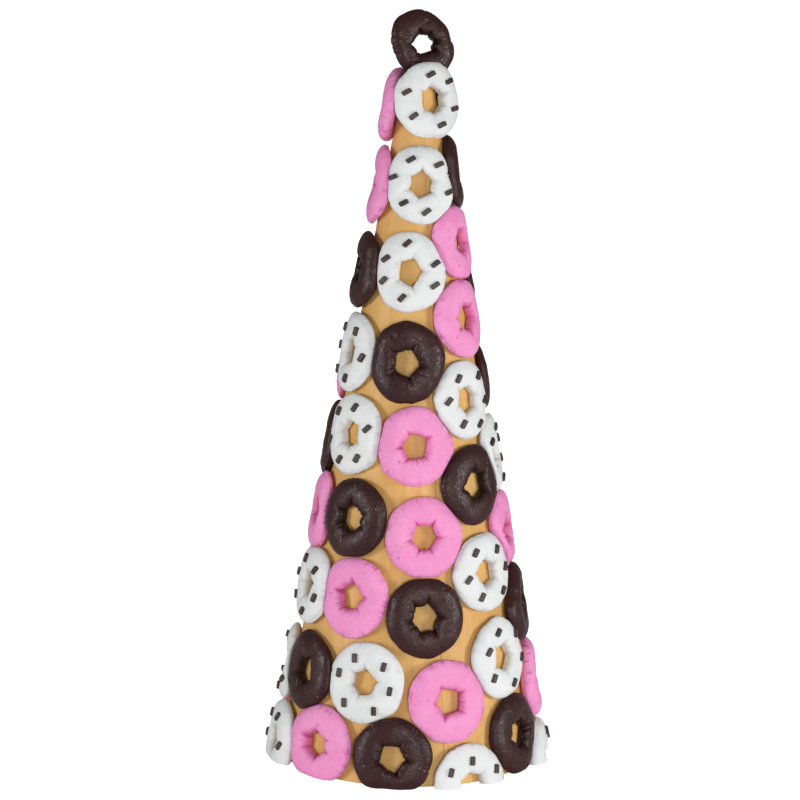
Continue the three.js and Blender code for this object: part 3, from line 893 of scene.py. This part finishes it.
def chocolate_finish():
    """Dark grey-brown dough with a grainy satin sheen, pale specks, and painted dark shade in its creases and
    on its hole wall.
    """
    material, tree, shader = new_material("chocolate dough", Specular_IOR_Level=0.28)
    dough = use_group(tree, kneaded_dough, Cloud_scale=80, Grain_scale=560, Pit_scale=240)
    ring = use_group(tree, pinched_ring, Crack_count=4.0)
    colour = blend_colour(tree, ease(tree, dough["Cloud"], 0.3, 0.7), CHOCOLATE_DARK, CHOCOLATE_LIGHT)
    colour = blend_colour(tree, ease(tree, dough["Grain"], 0.5, 0.75, 0, 0.25), colour, CHOCOLATE_GRAIN)
    # Painted dark shade on the hole wall.
    colour = blend_colour(tree, reckon(tree, "MULTIPLY", ring["Wall shade"], 0.55), colour, CHOCOLATE_PAINTED_WALL_SHADE)
    # Painted dark shade in the creases.
    colour = blend_colour(tree, reckon(tree, "MULTIPLY", ring["Crease"], 0.7), colour, CHOCOLATE_PAINTED_CREASE_SHADE)
    colour = blend_colour(tree, reckon(tree, "MULTIPLY", ring["Crack"], 0.4), colour, CHOCOLATE_CRACK)
    colour = blend_colour(tree, reckon(tree, "MULTIPLY", dough["Pit"], 0.5), colour, CHOCOLATE_SPECK)
    tree.links.new(colour, shader.inputs["Base Color"])
    tree.links.new(ease(tree, dough["Grain"], 0.35, 0.65, 0.5, 0.28), shader.inputs["Roughness"])
    place = add_node(tree, "TexCoord").outputs["Object"]
    pebble = add_node(tree, "TexNoise", {"Vector": place, "Scale": CHOCOLATE_PEBBLES, "Detail": 1.0})
    pebble = pebble.outputs["Fac"]
    height = reckon(tree, "ADD", pebble, reckon(tree, "MULTIPLY", dough["Grain"], 0.5))
    height = reckon(tree, "ADD", height, reckon(tree, "MULTIPLY", ring["Wrinkle"], 0.4))
    height = reckon(tree, "SUBTRACT", height, reckon(tree, "MULTIPLY", ring["Crack"], 0.5))
    bump(tree, shader, height, CHOCOLATE_RELIEF)
    return material


chocolate_dough = chocolate_finish()
for node in sorted(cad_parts):
    if node.startswith("chocolate") and not node.endswith("top"):
        make_doughnut(node, chocolate_dough, CHOCOLATE_CREASE)

# The top doughnut is a smaller, more oval ring of the same chocolate dough that stands on its edge on the
# cone's flat top, leaning back a little. Its foot is pressed in behind the doughnuts beside it, and its hole
# goes right through.
TOP_THICK = 9
TOP_HOLE = 0.84
TOP_RIM = 0.975
TOP_GAP = 0.2
TOP_WALL_REACH = RING_TALL / 5
TOP_WALL_SPAN = TOP_THICK / 5
TOP_SEED = 7
TOP_BATCH = 59


def behind(points, ring):
    """Points pushed in behind the back of a doughnut on the cone, where they are within its outline."""
    flat = unbend(points.reshape(-1, 3), ring["azimuth"], ring["height"])
    rim = np.interp(np.arctan2(flat[:, 1], flat[:, 0]), DEGREES, ring["rim"], period=2 * math.pi)
    within = (np.hypot(flat[:, 0], flat[:, 1]) < rim) & (flat[:, 2] > -TOP_GAP)
    flat[within, 2] = -TOP_GAP
    moved = points.reshape(-1, 3).copy()
    moved[within] = bend(flat[within], ring["azimuth"], ring["height"])
    return moved.reshape(points.shape)


def make_top_doughnut():
    """The standing ring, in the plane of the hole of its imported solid."""
    points = node_points("chocolate_doughnut_top")
    wall = points
    for _ in range(READ_ROUNDS - 1):
        centre = wall.mean(axis=0)
        facing = np.linalg.svd(wall - centre)[2][2]
        facing = -facing * np.sign(facing[1])
        off_plane = (points - centre) @ facing
        reach = np.linalg.norm(points - centre - off_plane[:, None] * facing, axis=1)
        wall = points[(reach < TOP_WALL_REACH) & (abs(off_plane - np.median(off_plane)) < TOP_WALL_SPAN)]
    centre = wall.mean(axis=0)
    across = np.cross((0, 0, 1), facing)
    across = across / np.linalg.norm(across)
    axes = np.stack([across, np.cross(facing, across), facing])
    girth = (0, 0, SOLID_GIRTH * TOP_THICK)
    flat = (points - centre) @ axes.T + girth
    ring = ring_outline(flat, HOLE_TALL, HOLE_WIDTH, TOP_THICK)
    ring["hole"] = TOP_HOLE * ring["hole"]
    ring["rim"] = TOP_RIM * ring["rim"]
    surface = ring_surface(ring, TOP_THICK, TOP_SEED, CHOCOLATE_CREASE)
    placed = (surface[0] - girth) @ axes + centre
    for beside in rings.values():
        if beside["height"] > cone_tall - RING_TALL / 2:
            placed = behind(placed, beside)
    placed[..., 2] = np.maximum(placed[..., 2], cone_tall + TOP_GAP)
    piece = ring_piece("chocolate_ring_top", placed, surface, TOP_BATCH)
    piece.data.materials.append(chocolate_dough)
    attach(piece, "root")
    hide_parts("chocolate_doughnut_top")


make_top_doughnut()

# The floor is a wide pale studio sheet, so light that its edge is lost in the white round it.
# A large soft light stands by the camera and one to each side, all set low, and one more lights the back
# without a glint. Each light has a place and a size in metres and a power in watts.
FLOOR_REACH = 12
FLOOR_SIDES = 64
FLOOR_GLOW = 0.9
FLOOR_PALE = (244, 244, 244)
FLOOR_PALEST = (250, 250, 250)
WORLD_LIGHT = 0.18
LIGHT_SPREAD = math.radians(100)
SOFT_LIGHTS = (
    ("front_light", (0.4, -2.2, 0.42), 0.8, 5.7),
    ("right_light", (1.8, -0.9, 0.32), 0.5, 5.6),
    ("left_light", (-1.8, -0.9, 0.4), 0.5, 4.9),
    ("back_light", (0.1, 2.2, 0.5), 1.0, 10),
)


def floor_finish():
    """Pale paper with a faint cloudiness."""
    material, tree, shader = new_material("pale floor", Specular_IOR_Level=0.2)
    cloud = add_node(tree, "TexNoise", {"Scale": 3.0, "Detail": 2.0}).outputs["Fac"]
    tree.links.new(blend_colour(tree, cloud, FLOOR_PALE, FLOOR_PALEST), shader.inputs["Base Color"])
    tree.links.new(ease(tree, cloud, 0.2, 0.8, 0.7, 0.9), shader.inputs["Roughness"])
    shader.inputs["Emission Strength"].default_value = FLOOR_GLOW
    tree.links.new(add_node(tree, "LightPath").outputs["Is Camera Ray"], shader.inputs["Emission Color"])
    return material


floor_mesh = bpy.data.meshes.new("floor")
floor_work = bmesh.new()
bmesh.ops.create_circle(floor_work, cap_ends=True, segments=FLOOR_SIDES, radius=FLOOR_REACH)
floor_work.to_mesh(floor_mesh)
floor_work.free()
floor = bpy.data.objects.new("floor", floor_mesh)
bpy.context.scene.collection.objects.link(floor)
floor_mesh.materials.append(floor_finish())

world = bpy.data.worlds.new("studio")
bpy.context.scene.world = world
world.use_nodes = True
sky = world.node_tree
sky.nodes["Background"].inputs["Color"].default_value = (1, 1, 1, 1)
seen = add_node(sky, "LightPath").outputs["Is Camera Ray"]
sky.links.new(ease(sky, seen, 0, 1, WORLD_LIGHT, 1), sky.nodes["Background"].inputs["Strength"])
light_aim = Vector((0, 0, cone_tall / 4 * MM))
for name, spot, size, power in SOFT_LIGHTS:
    lamp = bpy.data.lights.new(name, "AREA")
    lamp.size = size
    lamp.energy = power
    lamp.spread = LIGHT_SPREAD
    light = bpy.data.objects.new(name, lamp)
    light.location = spot
    light.rotation_euler = (light_aim - Vector(spot)).to_track_quat("-Z", "Y").to_euler()
    light.visible_glossy = spot[1] < 0
    bpy.context.scene.collection.objects.link(light)
bpy.context.scene.view_settings.view_transform = "Standard"

# The camera stands in front of the tree, far off behind a long lens, so the cone's sides hardly converge.
# It is set a little above the tree's top, looks down by about eleven degrees and is rolled by one. Its place
# and aim are in metres.
CAMERA_PLACE = Vector((0, -1.9, 0.5984))
CAMERA_AIM = Vector((-0.00779, 0, 0.2206))
CAMERA_ROLL = math.radians(0.95)
CAMERA_LENS = 143.19
CAMERA_SENSOR = 36

forward = (CAMERA_AIM - CAMERA_PLACE).normalized()
level_right = forward.cross(Vector((0, 0, 1))).normalized()
level_up = level_right.cross(forward)
right = math.cos(CAMERA_ROLL) * level_right + math.sin(CAMERA_ROLL) * level_up
up = math.cos(CAMERA_ROLL) * level_up - math.sin(CAMERA_ROLL) * level_right
camera_data = bpy.data.cameras.new("camera")
camera_data.lens = CAMERA_LENS
camera_data.sensor_width = CAMERA_SENSOR
camera = bpy.data.objects.new("camera", camera_data)
camera.matrix_world = Matrix.Translation(CAMERA_PLACE) @ Matrix((right, up, -forward)).transposed().to_4x4()
bpy.context.scene.collection.objects.link(camera)
bpy.context.scene.camera = camera
